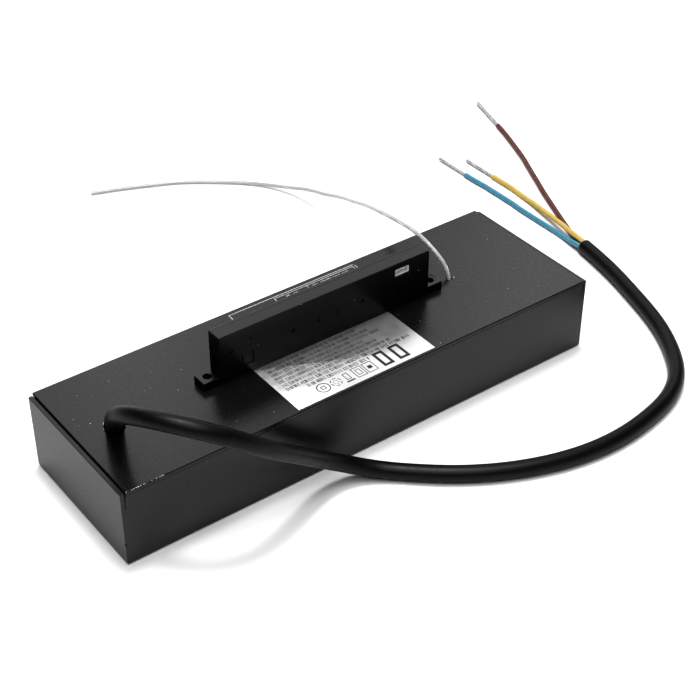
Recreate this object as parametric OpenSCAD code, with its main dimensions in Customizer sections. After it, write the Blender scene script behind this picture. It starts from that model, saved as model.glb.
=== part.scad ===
// Plug-in power supply: a folded sheet housing with a lid, a slim plug-in
// adapter on the lid, a cut mains lead and a thin stranded wire.
// Millimetres, +Z up, origin under the middle of the housing.

/* [Housing] */
// Length of the housing
box_l = 200; // [198:0.5:206]
// Width of the folded tray
box_w = 61.6; // [61:0.1:63]
// Thickness of the folded sheet
sheet_t = 1.5; // [1:0.1:1.6]
// Outer radius of the folds along the bottom
bend_r = 1.3; // [1:0.1:3]
// Height of the end walls above the bottom
end_h = 30.2; // [30:0.1:30.8]
// Width of the lid, which laps over the long walls
lid_w = 62.6; // [62.2:0.1:63.5]
// Gap between the lid and each end wall
lid_gap = 0.3; // [0.2:0.1:0.6]
// Chamfer on the upper edges of the lid
lid_chamfer = 0.25; // [0.1:0.05:0.4]
// Width of the hole in the lid for the mains lead
cable_hole_w = 6.9; // [6.8:0.1:8]
// Length of that hole, along the way the lead leans
cable_hole_l = 9.9; // [9.8:0.1:10.4]
// Width of the hole in the lid for the thin wire
wire_hole_w = 2.1; // [2:0.1:2.4]

/* [Adapter] */
// Length of the adapter bar
bar_l = 90.5; // [90:0.5:92]
// Thickness of the adapter bar
bar_w = 6.4; // [6.4:0.1:7]
// Height of the adapter bar above the lid
bar_h = 19.3; // [19:0.1:21]
// Length over the two ears
ear_l = 104; // [103:0.5:106]
// Thickness of the ears
ear_t = 3.2; // [2.5:0.1:4]
// Distance between the ear holes
ear_pitch = 97.2; // [96.5:0.1:98]
// Diameter of the ear holes
ear_hole_d = 3.2; // [2.8:0.1:3.4]
// Thickness of the adapter's back cover
back_t = 1.2; // [1:0.1:1.3]

/* [Label] */
// Length of the rating label
label_l = 58.7; // [50:0.1:60]
// Thickness of the rating label
label_t = 0.1; // [0.08:0.01:0.2]

/* [Leads] */
// Outer diameter of the mains lead
cable_d = 6.2; // [5.8:0.1:6.2]
// Outer diameter of one core
core_d = 2.2; // [1.9:0.1:2.2]
// Diameter of the tinned strands of one core
strand_d = 1.1; // [0.9:0.05:1.3]
// Outer diameter of the thin wire
wire_d = 1.6; // [1.4:0.1:1.8]

/* [Circuit board] */
// Length of the circuit board
board_l = 130; // [130:1:132]
// Width of the circuit board
board_w = 52; // [52:0.5:54]
// Thickness of the circuit board
board_t = 1.6; // [1.4:0.1:1.8]

/* [Hidden] */
$fn = 48;

side_h = 29.5;              // top of the long walls, which carry the lid
lid_t = 1.5;
lid_z = side_h;
lid_top = lid_z + lid_t;    // 31
lid_l = box_l - 2 * sheet_t - 2 * lid_gap;
pillar_x = 91;
pillar_y = 23.5;
bar_x = 0.6;                // middle of the adapter
bar_z = lid_top;
bar_top = bar_z + bar_h;
split_y = bar_w / 2 - back_t;
cavity_z = bar_z + 4.4;
board_z = 6.5;
board_top = board_z + board_t;
board_x = 21;               // middle of the circuit board
spacer_x = 61;
spacer_y = 22;
clamp_x = -62;
clamp_y = 11;
clamp_z = 12.5;
wire_x = 59;                // where the thin wire goes through the lid

// Pins of the adapter, along it from its middle, and height
pin_at = [[-40.4, 42.9], [-15.1, 40.8], [15.1, 40.8], [40.4, 42.9]];
// Shallow moulding marks on its front
mark_at = [[-32.5, 45.1], [-4.1, 40.4], [4.1, 40.4]];

// Height of each cord's middle where it lies on the surface
lead_z = cable_d / 2;
core_z = core_d / 2;
wire_z = wire_d / 2;

// Route of the mains lead outside the housing, from inside the lid hole,
// over the front edge and along the surface to the cut end of the sheath
cable_route = [[-84, 0.5, 29], [-90, -11, 46], [-87.5, -26, 53],
    [-79, -38.5, 53], [-68, -45.5, 48], [-57, -47, 39], [-44, -44, 28],
    [-31.5, -39.5, 16.5], [-20, -39, 8], [-9, -44.5, lead_z],
    [0, -53, lead_z], [10.5, -62, lead_z], [23, -70, lead_z],
    [36, -76, lead_z], [49, -80, lead_z], [62, -82, lead_z],
    [75, -82, lead_z], [88, -80, lead_z], [100.5, -77, lead_z],
    [113, -70, lead_z], [122, -59, lead_z], [129, -47, lead_z],
    [134, -35, lead_z], [138, -22, lead_z], [142, -9, lead_z],
    [145, 4, lead_z], [147, 16, lead_z]];
// The same lead inside the housing, down to the clamp
inside_route = [[-84, 0.5, 29], [-82.5, 3.5, 25], [-79.5, 7.5, 18.5],
    [-73, 10, 13.5], [-66, 11, 12.5], [-57, 11, 12.5]];

// Where the cores leave the sheath, and the way the sheath points there.
// They are laid evenly round its middle, core_lay out from it
core_lay = 1.34;
sheath_end = cable_route[len(cable_route) - 1];
sheath_dir = unit(sheath_end - cable_route[len(cable_route) - 2]);
sheath_side = unit(cross(sheath_dir, [0, 0, 1]));
function core_from(a) = sheath_end + 0.02 * sheath_dir
    + core_lay * (cos(a) * sheath_side + sin(a) * [0, 0, 1]);

// Routes of the cores on the surface, to the ends of their insulation
brown_route = [core_from(-57), [149, 21, 1.5], [151.5, 27, core_z],
    [154, 34, core_z], [157, 41, core_z], [160, 48, core_z],
    [163, 55, core_z], [166, 62, core_z], [169.5, 69, core_z],
    [173, 77, core_z], [177, 85, core_z], [180.5, 93, core_z],
    [183.5, 101, core_z], [187, 110, core_z], [190, 119.5, core_z]];
yellow_route = [core_from(63), [148.5, 21, 4], [149, 26, 4], [150, 31, 4],
    [151, 36, 3.5], [152, 41, 3], [153, 46, 2.5], [154, 51, 2],
    [155, 56, 1.5], [155.5, 61, core_z], [156, 66, core_z],
    [156.5, 71, core_z], [156.5, 76, core_z], [156.5, 81, core_z],
    [156.5, 84.5, core_z]];
blue_route = [core_from(183), [146, 21, 2.5], [147, 26, 1.5],
    [147.5, 31, core_z], [147.5, 36, core_z], [147.5, 41, core_z],
    [147.5, 46, core_z], [147.5, 51, core_z], [147.5, 56, core_z],
    [148, 61, core_z], [148, 66, core_z], [148, 71, core_z],
    [148, 76, core_z], [148, 81, core_z], [147.5, 87, core_z],
    [147.5, 93, core_z]];
brown_bare = 24;            // stripped lengths
yellow_bare = 18.5;
blue_bare = 18.5;

// Route of the thin wire, from inside its hole, over the back edge and
// down to the surface
wire_route = [[wire_x, 0, 29.5], [wire_x, 2, 36.5], [57, 15, 43], [59, 25, 41],
    [60, 37, 39], [62, 47, 36], [65, 57, 32], [68, 66, 28], [70, 75, 24],
    [73, 84, 20], [75, 93, 16], [76, 102, 12], [77, 111, 9], [77, 120, 6],
    [75, 129, 3], [71, 138, 1.5], [65, 146, wire_z], [57, 153, wire_z],
    [49, 159, wire_z], [41, 165, wire_z], [32, 169, wire_z],
    [23, 173, wire_z], [13, 177, wire_z], [4, 180, wire_z]];

// ---- curves ----
function unit(v) = v / norm(v);
// Route point i, carried on in a straight line past both ends
function at(r, i) = i < 0 ? 2 * r[0] - r[1]
    : i >= len(r) ? 2 * r[len(r) - 1] - r[len(r) - 2] : r[i];
// Smooth curve of the route at t, one unit of t to each route point
function curve(r, t) = let (i = min(floor(t), len(r) - 2), s = t - i)
    at(r, i - 1) * pow(1 - s, 3) / 6
    + at(r, i) * (3 * pow(s, 3) - 6 * s * s + 4) / 6
    + at(r, i + 1) * (-3 * pow(s, 3) + 3 * s * s + 3 * s + 1) / 6
    + at(r, i + 2) * pow(s, 3) / 6;
function heading(r, t) = let (i = min(floor(t), len(r) - 2), s = t - i)
    unit(at(r, i - 1) * -pow(1 - s, 2) / 2
    + at(r, i) * (3 * s * s - 4 * s) / 2
    + at(r, i + 1) * (-3 * s * s + 2 * s + 1) / 2
    + at(r, i + 2) * s * s / 2);
// One ring of k points round p, square to d
function ring(p, d, rad, k) = let (a = unit(cross(d, abs(d[2]) > 0.99
    ? [0, -1, 0] : [0, 0, 1])), b = cross(a, d))
    [for (j = [0:k - 1]) p + rad * (a * cos(360 * (j + 0.5) / k)
        + b * sin(360 * (j + 0.5) / k))];

// A tube of k sides along a route, with m rings; d0 turns its first face
module tube(r, dia, k, m, d0 = undef) {
    rad = dia / 2 / cos(180 / k);
    ts = [for (i = [0:m - 1]) i * (len(r) - 1) / (m - 1)];
    rings = [for (i = [0:m - 1]) ring(curve(r, ts[i]),
        i == 0 && !is_undef(d0) ? d0 : heading(r, ts[i]), rad, k)];
    polyhedron(
        points = [for (q = rings) each q],
        faces = concat(
            [[for (j = [k - 1:-1:0]) j]],
            [for (i = [0:m - 2], j = [0:k - 1])
                [i * k + j, (i + 1) * k + (j + 1) % k, (i + 1) * k + j]],
            [for (i = [0:m - 2], j = [0:k - 1])
                [i * k + j, i * k + (j + 1) % k, (i + 1) * k + (j + 1) % k]],
            [[for (j = [0:k - 1]) (m - 1) * k + j]]));
}

// A round rod from a to b
module rod(a, b, dia) {
    v = b - a;
    translate(a) rotate([0, acos(v[2] / norm(v)), atan2(v[1], v[0])])
        cylinder(d = dia, h = norm(v));
}

// Strands that carry on straight from the end of a route
module strands(r, bare) {
    e = r[len(r) - 1];
    d = heading(r, len(r) - 1);
    rod(e + 0.02 * d, e + bare * d, strand_d);
}

// ---- housing ----
// Upright section of a folded trough, w wide and h high
module trough(w, h, rad) {
    translate([-w / 2, rad]) square([w, h - rad]);
    translate([-w / 2 + rad, 0]) square([w - 2 * rad, h]);
    for (s = [-1, 1]) translate([s * (w / 2 - rad), rad]) circle(r = rad);
}

// Block whose four long bottom edges are rounded
module folded_block(l, w, h, rad) {
    intersection() {
        rotate([90, 0, 90]) translate([0, 0, -l / 2])
            linear_extrude(l) trough(w, h, rad);
        rotate([90, 0, 0]) translate([0, 0, -w / 2])
            linear_extrude(w) trough(l, h, rad);
    }
}

module base_tray() {
    color([0.11, 0.11, 0.115]) difference() {
        folded_block(box_l, box_w, end_h, bend_r);
        translate([0, 0, sheet_t])
            folded_block(box_l - 2 * sheet_t, box_w - 2 * sheet_t, end_h,
                max(bend_r - sheet_t, 0) + 0.3);
        // long walls end lower than the end walls
        translate([-box_l / 2 + sheet_t, -box_w / 2 - 1, side_h])
            cube([box_l - 2 * sheet_t, box_w + 2, 2]);
        // open corner joints, which run out 6 mm below the rim
        for (sx = [-1, 1], sy = [-1, 1])
            translate([sx * (box_l / 2 - sheet_t), sy * box_w / 2, end_h - 3])
                cube([0.2, 0.6, 6.4], center = true);
        // small nick in the front left corner
        translate([-box_l / 2, -box_w / 2, 8]) rotate([0, 0, 45])
            cube([0.7, 0.7, 0.7], center = true);
        for (sx = [-1, 1], sy = [-1, 1]) translate([sx * pillar_x,
            sy * pillar_y, 0]) {
            translate([0, 0, -1]) cylinder(d = 3.4, h = 4);
            translate([0, 0, -0.01]) cylinder(d1 = 6, d2 = 3.4, h = 1.3);
        }
    }
}

// Oval hole of length l and width w, its length turned by ang
module slot(l, w, ang) {
    rotate([0, 0, ang]) {
        for (s = [-1, 1]) translate([s * (l - w) / 2, 0, 0])
            cylinder(d = w, h = 4);
        translate([0, 0, 2]) cube([l - w, w, 4], center = true);
    }
}

module lid_plate() {
    c = lid_chamfer;
    color([0.12, 0.12, 0.125]) difference() {
        intersection() {
            translate([-lid_l / 2, 0, lid_z]) rotate([90, 0, 90])
                linear_extrude(lid_l) polygon([[-lid_w / 2, 0],
                    [lid_w / 2, 0], [lid_w / 2, lid_t - c],
                    [lid_w / 2 - c, lid_t], [-lid_w / 2 + c, lid_t],
                    [-lid_w / 2, lid_t - c]]);
            translate([0, lid_w / 2, lid_z]) rotate([90, 0, 0])
                linear_extrude(lid_w) polygon([[-lid_l / 2, 0],
                    [lid_l / 2, 0], [lid_l / 2, lid_t - c],
                    [lid_l / 2 - c, lid_t], [-lid_l / 2 + c, lid_t],
                    [-lid_l / 2, lid_t - c]]);
        }
        translate([-84.55, -0.55, lid_z - 1])
            slot(cable_hole_l, cable_hole_w, atan2(-11.2, -5.5));
        translate([wire_x, 0.42, lid_z - 1])
            slot(wire_hole_w + 0.9, wire_hole_w, 90);
        // under the adapter: its leads, its screws and its ear holes
        translate([bar_x - 8, -1.5, lid_z - 1]) cube([16, 3, 4]);
        for (s = [-1, 1]) {
            translate([bar_x + s * 24, 0, lid_z - 1])
                cylinder(d = 2.4, h = 4);
            translate([bar_x + s * ear_pitch / 2, 0, lid_z - 1])
                cylinder(d = ear_hole_d, h = 4);
        }
    }
}

module lid_pillars() {
    color([0.72, 0.72, 0.7]) for (sx = [-1, 1], sy = [-1, 1])
        translate([sx * pillar_x, sy * pillar_y, sheet_t]) difference() {
            cylinder(d = 6, h = lid_z - sheet_t);
            translate([0, 0, -1]) cylinder(d = 3, h = 13);
        }
}

// Countersunk screw, head down at z = 0, with a cross slot
module countersunk(l) {
    difference() {
        union() {
            translate([0, 0, 0.1]) cylinder(d1 = 5.4, d2 = 2.9, h = 1.25);
            translate([0, 0, 1.35]) cylinder(d = 2.9, h = l - 1.35);
        }
        for (a = [0, 90]) rotate([0, 0, a]) translate([0, 0, 0.3])
            cube([2.8, 0.6, 1.2], center = true);
    }
}

// Pan head screw, shank down from z = 0, with a cross slot
module pan_head(d, l, head_d, head_h) {
    difference() {
        union() {
            translate([0, 0, -l]) cylinder(d = d, h = l + 0.01);
            cylinder(d = head_d, h = head_h);
        }
        for (a = [0, 90]) rotate([0, 0, a]) translate([0, 0, head_h])
            cube([head_d * 0.6, head_d * 0.13, head_h], center = true);
    }
}

module lid_screws() {
    color([0.2, 0.2, 0.2]) for (sx = [-1, 1], sy = [-1, 1])
        translate([sx * pillar_x, sy * pillar_y, 0]) countersunk(10);
}

module rating_label() {
    color([0.8, 0.81, 0.82]) translate([-31.4, -30.2, lid_top])
        cube([label_l, 30.2 - bar_w / 2 - 0.05, label_t]);
}

// ---- adapter ----
// Slots of 0.4 mm round three sides of a spring tongue, cut through a wall
module tongue_slots(y0, y1) {
    for (s = [-1, 1]) translate([bar_x + s * 33.9, y0, 0]) {
        for (e = [-2.4, 2]) translate([e, 0, 35.4])
            cube([0.4, y1 - y0, 4.2]);
        translate([-2.4, 0, 35]) cube([4.8, y1 - y0, 0.4]);
    }
}

module adapter_body() {
    color([0.05, 0.05, 0.05]) difference() {
        union() {
            translate([bar_x - bar_l / 2, -bar_w / 2, bar_z])
                cube([bar_l, bar_w - back_t, bar_h]);
            translate([bar_x - ear_l / 2, -bar_w / 2, bar_z])
                cube([ear_l, bar_w, ear_t]);
        }
        // cavity, open to the back
        translate([bar_x - bar_l / 2 + 1.6, -bar_w / 2 + 1.3, cavity_z])
            cube([bar_l - 3.2, bar_w, bar_top - 1.4 - cavity_z]);
        // pocket in each end
        for (s = [-1, 1]) translate([bar_x + s * bar_l / 2 - 0.8, -1.8, 35.2])
            cube([1.6, 3.2, 6]);
        tongue_slots(-bar_w / 2 - 1, -bar_w / 2 + 2);
        // window in front of the contact
        translate([30.1, -bar_w / 2 - 1, 44.5]) cube([7.1, 3, 3.4]);
        for (p = pin_at) translate([bar_x + p[0], 0, p[1]])
            rotate([90, 0, 0]) cylinder(d = 1.6, h = 10);
        for (p = mark_at) translate([bar_x + p[0], -bar_w / 2 + 0.3, p[1]])
            rotate([90, 0, 0]) cylinder(d = 0.9, h = 2);
        for (s = [-1, 1]) {
            translate([bar_x + s * ear_pitch / 2, 0, bar_z - 1])
                cylinder(d = ear_hole_d, h = ear_t + 2);
            translate([bar_x + s * 24, 0, bar_z - 1])
                cylinder(d = 2, h = 4);
        }
        // way for the two leads
        translate([bar_x - 8, -1.5, bar_z - 1]) cube([16, 3, 6]);
    }
}

module adapter_back_cover() {
    color([0.055, 0.055, 0.055]) difference() {
        translate([bar_x - bar_l / 2, split_y, bar_z + ear_t])
            cube([bar_l, back_t, bar_h - ear_t]);
        for (s = [-1, 1]) translate([bar_x + s * bar_l / 2, bar_w / 2, 41.5])
            cube([0.8, 1, 0.6], center = true);
        tongue_slots(0, bar_w);
        translate([30.1, 0, 44.5]) cube([7.1, bar_w, 3.4]);
        for (p = pin_at) translate([bar_x + p[0], bar_w / 2 - 0.4, p[1]])
            rotate([90, 0, 0]) cylinder(d = 1.6, h = 3);
    }
}

module adapter_pins() {
    color([0.1, 0.1, 0.1]) for (p = pin_at)
        translate([bar_x + p[0], bar_w / 2 - 0.4, p[1]])
            rotate([90, 0, 0]) cylinder(d = 1.5, h = bar_w - 0.8);
}

module adapter_board() {
    color([0.15, 0.35, 0.2]) difference() {
        translate([bar_x - 42, 0.1, cavity_z + 0.6]) cube([84, 1, 12.4]);
        for (p = pin_at) translate([bar_x + p[0], 3, p[1]])
            rotate([90, 0, 0]) cylinder(d = 2.2, h = 6);
    }
}

// Bent leaf: a web behind the window with a lip below and a lip at one end
module leaf(y_web, y_lip) {
    y0 = min(y_web, y_lip);
    y1 = max(y_web, y_lip);
    translate([30.3, y_web - 0.15, 44.6]) cube([6.7, 0.3, 3.2]);
    translate([30.3, y0 - 0.15, 44.6]) cube([6.7, y1 - y0 + 0.3, 0.3]);
    translate([36.7, y0 - 0.15, 44.6]) cube([0.3, y1 - y0 + 0.3, 3.2]);
}

module front_contact() {
    color([0.75, 0.74, 0.7]) {
        leaf(-0.9, -2.4);
        // tail soldered to the board
        translate([31, -1.05, 46.9]) cube([2, 1.15, 0.3]);
    }
}

module rear_contact() {
    color([0.75, 0.74, 0.7]) {
        leaf(1.6, 2.6);
        translate([31, 1.1, 46.9]) cube([2, 0.5, 0.3]);
    }
}

module adapter_screws() {
    color([0.6, 0.6, 0.6]) for (s = [-1, 1])
        translate([bar_x + s * 24, 0, lid_z]) rotate([180, 0, 0])
            pan_head(1.9, 4, 4, 1.4);
}

// A lead from the adapter board straight down to the circuit board
module output_lead(x) {
    translate([x, -0.75, board_top]) {
        cylinder(d = 1.3, h = cavity_z + 2 - board_top);
        cylinder(d1 = 3, d2 = 1.6, h = 0.8);
    }
}
module output_lead_red() { color([0.7, 0.08, 0.06]) output_lead(bar_x - 4); }
module output_lead_black() { color([0.05, 0.05, 0.05]) output_lead(bar_x + 4); }

// ---- circuit board and what stands on it ----
module driver_board() {
    color([0.55, 0.5, 0.28]) difference() {
        translate([board_x - board_l / 2, -board_w / 2, board_z])
            cube([board_l, board_w, board_t]);
        for (sx = [-1, 1], sy = [-1, 1]) translate([board_x + sx * spacer_x,
            sy * spacer_y, board_z - 1]) cylinder(d = 3.2, h = 4);
    }
}

module board_spacers() {
    color([0.75, 0.65, 0.35]) for (sx = [-1, 1], sy = [-1, 1])
        translate([board_x + sx * spacer_x, sy * spacer_y, sheet_t])
            difference() {
                cylinder(d = 6, h = board_z - sheet_t);
                translate([0, 0, -1]) cylinder(d = 3, h = 9);
            }
}

module board_screws() {
    color([0.7, 0.7, 0.7]) for (sx = [-1, 1], sy = [-1, 1])
        translate([board_x + sx * spacer_x, sy * spacer_y, board_top])
            pan_head(2.9, 5.5, 5.5, 2);
}

module insulating_liner() {
    color([0.85, 0.85, 0.8]) difference() {
        translate([board_x - board_l / 2 - 2, 0, sheet_t])
            rotate([90, 0, 90]) linear_extrude(board_l + 3.5)
                polygon([[-28.9, 16], [-28.9, 0.8], [-28.3, 0], [28.3, 0],
                    [28.9, 0.8], [28.9, 16], [28.5, 16], [28.5, 0.9],
                    [28.1, 0.4], [-28.1, 0.4], [-28.5, 0.9], [-28.5, 16]]);
        for (sx = [-1, 1], sy = [-1, 1]) translate([board_x + sx * spacer_x,
            sy * spacer_y, 0]) cylinder(d = 7, h = 4);
    }
}

module input_terminal() {
    color([0.15, 0.4, 0.2]) difference() {
        translate([-42, clamp_y - 8, board_top]) cube([10, 16, 10]);
        for (k = [-1, 0, 1]) translate([-42, clamp_y + 5 * k, clamp_z]) {
            translate([-0.01, 0, 0]) rotate([0, 90, 0]) {
                cylinder(d1 = 4.4, d2 = 2.8, h = 4.2);
                cylinder(d = 2.8, h = 6);
            }
            translate([4.5, 0, 3]) cylinder(d = 3.4, h = 8);
        }
    }
}

module fuse() {
    color([0.12, 0.12, 0.12]) translate([-36, -7, board_top]) {
        cylinder(d = 8.4, h = 7.2);
        translate([0, 0, 7.2]) cylinder(d1 = 8.4, d2 = 7.6, h = 0.5);
    }
}

module line_choke() {
    color([0.7, 0.4, 0.15]) translate([-17, -12, board_top + 5.5])
        rotate_extrude() translate([7, 0]) union() {
            square([5, 7], center = true);
            translate([0, 3.5]) circle(r = 2);
            translate([0, -3.5]) circle(r = 2);
        }
}

module filter_capacitor() {
    color([0.9, 0.8, 0.2]) translate([-27, 6, board_top])
        cube([17, 9, 15]);
}

module bridge_rectifier() {
    color([0.1, 0.1, 0.1]) translate([-8, 16, board_top])
        rotate([90, 0, 90]) linear_extrude(15)
            polygon([[0, 0], [3.6, 0], [3.6, 10.6], [3, 11.2], [0, 11.2]]);
}

// Upright can with a groove near its foot and a scored top
module can(d, h) {
    difference() {
        cylinder(d = d, h = h);
        translate([0, 0, 1.5]) rotate_extrude() translate([d / 2, 0])
            circle(r = 0.5);
        for (a = [0, 90]) rotate([0, 0, a]) translate([0, 0, h])
            cube([d * 0.6, 0.3, 0.4], center = true);
    }
}

module bulk_capacitor() {
    color([0.1, 0.12, 0.2]) translate([17.5, 13, board_top]) can(16, 19);
}

module transformer_core() {
    color([0.2, 0.2, 0.21]) translate([42, 3, board_top + 9])
        difference() {
            cube([26, 25, 10], center = true);
            for (s = [-1, 1]) translate([s * 7.5, 0, 0])
                cube([6, 17, 12], center = true);
        }
}

module transformer_winding() {
    color([0.85, 0.7, 0.15]) translate([42, 3, board_top])
        difference() {
            union() {
                translate([-10, -8.2, 1.2]) cube([20, 16.4, 15.6]);
                translate([-12, -8.2, 0]) cube([24, 16.4, 1.2]);
                translate([-12, -8.2, 16.8]) cube([24, 16.4, 1.2]);
            }
            // passage of the middle leg and room for the outer legs
            translate([-4.5, -9, 4]) cube([9, 18, 10]);
            for (s = [-1, 1]) translate([s * 12.4 - 2, -9, 4])
                cube([4, 18, 10]);
        }
}

module heatsink() {
    color([0.7, 0.71, 0.72]) translate([2, -25, board_top])
        rotate([90, 0, 90]) linear_extrude(40)
            polygon(concat([[9, 0], [9, 18], [7, 18]],
                [for (k = [0:4]) each [[7, 16.4 - 3.2 * k],
                    [0, 16.4 - 3.2 * k], [0, 15 - 3.2 * k],
                    [7, 15 - 3.2 * k]]],
                [[7, 0]]));
}

module power_transistor() {
    color([0.12, 0.12, 0.12]) translate([17, -16, board_top]) {
        difference() {
            union() {
                translate([0, 0, 10]) cube([10, 1.3, 6.2]);
                cube([10, 4.4, 10]);
            }
            translate([5, -1, 13.2]) rotate([-90, 0, 0])
                cylinder(d = 3.4, h = 5);
        }
    }
}

module transistor_screw() {
    color([0.7, 0.7, 0.7]) translate([22, -14.7, board_top + 13.2])
        rotate([-90, 0, 0]) pan_head(2.6, 1.3, 5, 1.8);
}

module output_capacitors() {
    color([0.1, 0.12, 0.2]) for (y = [3, 15])
        translate([66, y, board_top]) can(10, 16);
}

module output_choke() {
    color([0.15, 0.15, 0.15]) translate([64, -13, board_top]) {
        cylinder(d = 12, h = 1.5);
        cylinder(d = 9.5, h = 10);
        translate([0, 0, 8.5]) cylinder(d = 12, h = 1.5);
    }
}

// ---- lead inside the housing ----
module clamp_base() {
    color([0.85, 0.85, 0.82]) difference() {
        translate([clamp_x - 4, clamp_y - 10, sheet_t])
            cube([8, 20, clamp_z - 0.3 - sheet_t]);
        translate([clamp_x - 6, clamp_y, clamp_z]) rotate([0, 90, 0])
            cylinder(d = 6.9, h = 12);
        for (s = [-1, 1]) translate([clamp_x, clamp_y + 7 * s, 4])
            cylinder(d = 3, h = 12);
    }
}

module clamp_bridge() {
    color([0.85, 0.85, 0.82]) difference() {
        translate([clamp_x - 3, clamp_y - 10, clamp_z + 0.3])
            cube([7, 20, 5]);
        translate([clamp_x - 6, clamp_y, clamp_z]) rotate([0, 90, 0])
            cylinder(d = 7, h = 12);
        for (s = [-1, 1]) translate([clamp_x, clamp_y + 7 * s, clamp_z])
            cylinder(d = 3.2, h = 12);
    }
}

module clamp_screws() {
    color([0.7, 0.7, 0.7]) for (s = [-1, 1])
        translate([clamp_x, clamp_y + 7 * s, clamp_z + 5.3])
            pan_head(2.9, 12, 5, 1.8);
}

module mains_lead_inside() {
    color([0.06, 0.06, 0.06]) tube(inside_route, cable_d, 12, 6,
        unit(cable_route[0] - cable_route[1]));
}

// Core from the sheath in the clamp to its way into the terminal
module inner_core(k, up) {
    a = inside_route[len(inside_route) - 1];
    rod(a + [0.35, 1.25 * k, up], [-38, clamp_y + 5 * k, clamp_z], core_d);
}
module inner_core_brown() { color([0.35, 0.18, 0.12]) inner_core(-1, -0.6); }
module inner_core_earth() { color([0.8, 0.7, 0.15]) inner_core(0, 1.3); }
module inner_core_blue() { color([0.2, 0.45, 0.65]) inner_core(1, -0.6); }

// ---- thin wire inside the housing ----
module wire_stop() {
    color([0.7, 0.7, 0.7]) translate([wire_x, 0, 23.4]) difference() {
        union() {
            cylinder(d = 4, h = 6);
            translate([0, 0, 1.6]) cylinder(d = 4.4, h = 1.2);
        }
        translate([0, 0, -1]) cylinder(d = wire_d + 0.02, h = 9);
    }
}

module wire_inside() {
    color([0.7, 0.72, 0.72]) translate([wire_x, 0, 21])
        cylinder(d = wire_d, h = 8.5);
}

// ---- leads outside ----
module mains_lead() {
    color([0.06, 0.06, 0.06]) tube(cable_route, cable_d, 12, 27);
}
module core_brown() {
    color([0.45, 0.27, 0.25]) tube(brown_route, core_d, 8, 8, sheath_dir);
}
module core_yellow() {
    color([0.88, 0.73, 0.3]) tube(yellow_route, core_d, 8, 8, sheath_dir);
}
module core_blue() {
    color([0.27, 0.55, 0.7]) tube(blue_route, core_d, 8, 8, sheath_dir);
}
module strands_brown() {
    color([0.75, 0.74, 0.73]) strands(brown_route, brown_bare);
}
module strands_yellow() {
    color([0.75, 0.74, 0.73]) strands(yellow_route, yellow_bare);
}
module strands_blue() {
    color([0.75, 0.74, 0.73]) strands(blue_route, blue_bare);
}
module thin_wire() {
    color([0.8, 0.81, 0.82]) tube(wire_route, wire_d, 8, 24, [0, 0, 1]);
}

base_tray();
lid_plate();
lid_pillars();
lid_screws();
rating_label();
adapter_body();
adapter_back_cover();
adapter_pins();
adapter_board();
front_contact();
rear_contact();
adapter_screws();
output_lead_red();
output_lead_black();
driver_board();
board_spacers();
board_screws();
insulating_liner();
input_terminal();
fuse();
line_choke();
filter_capacitor();
bridge_rectifier();
bulk_capacitor();
transformer_core();
transformer_winding();
heatsink();
power_transistor();
transistor_screw();
output_capacitors();
output_choke();
clamp_base();
clamp_bridge();
clamp_screws();
mains_lead_inside();
inner_core_brown();
inner_core_blue();
inner_core_earth();
wire_stop();
wire_inside();
mains_lead();
core_brown();
core_yellow();
core_blue();
strands_brown();
strands_yellow();
strands_blue();
thin_wire();
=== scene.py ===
import math
import random

import bmesh
import bpy
from mathutils import Matrix, Vector


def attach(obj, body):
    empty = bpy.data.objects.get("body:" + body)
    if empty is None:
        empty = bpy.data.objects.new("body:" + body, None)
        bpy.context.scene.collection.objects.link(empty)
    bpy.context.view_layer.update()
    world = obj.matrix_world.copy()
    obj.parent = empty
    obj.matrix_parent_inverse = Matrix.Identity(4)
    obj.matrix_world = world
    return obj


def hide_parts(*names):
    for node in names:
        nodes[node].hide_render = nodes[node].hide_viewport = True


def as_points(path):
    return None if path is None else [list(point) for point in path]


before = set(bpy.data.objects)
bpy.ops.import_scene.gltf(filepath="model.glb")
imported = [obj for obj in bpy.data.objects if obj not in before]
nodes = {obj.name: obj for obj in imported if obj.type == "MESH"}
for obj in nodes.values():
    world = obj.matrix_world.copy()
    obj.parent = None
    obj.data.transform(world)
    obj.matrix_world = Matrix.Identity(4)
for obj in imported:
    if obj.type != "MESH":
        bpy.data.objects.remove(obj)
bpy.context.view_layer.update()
scene = bpy.context.scene
MM = 0.001

# ------------------------------------------------------------------ camera
yaw, pitch, roll = math.radians(36.91), math.radians(36.811), math.radians(0.173)
fw = Vector((math.sin(yaw) * math.cos(pitch), math.cos(yaw) * math.cos(pitch), -math.sin(pitch)))
right = Vector((math.cos(yaw), -math.sin(yaw), 0))
upv = right.cross(fw)
cam_x = right * math.cos(roll) + upv * math.sin(roll)
cam_y = upv * math.cos(roll) - right * math.sin(roll)
cam_at = Vector((27.256, 19.602, 0)) * MM - fw * 587.33 * MM
cam_data = bpy.data.cameras.new("camera")
cam_data.sensor_width = 36
cam_data.lens = 1528.83 / 700 * 36
cam_data.clip_start, cam_data.clip_end = 0.01, 20
cam = bpy.data.objects.new("camera", cam_data)
m = Matrix((cam_x, cam_y, -fw)).transposed().to_4x4()
m.translation = cam_at
cam.matrix_world = m
scene.collection.objects.link(cam)
scene.camera = cam


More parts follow.
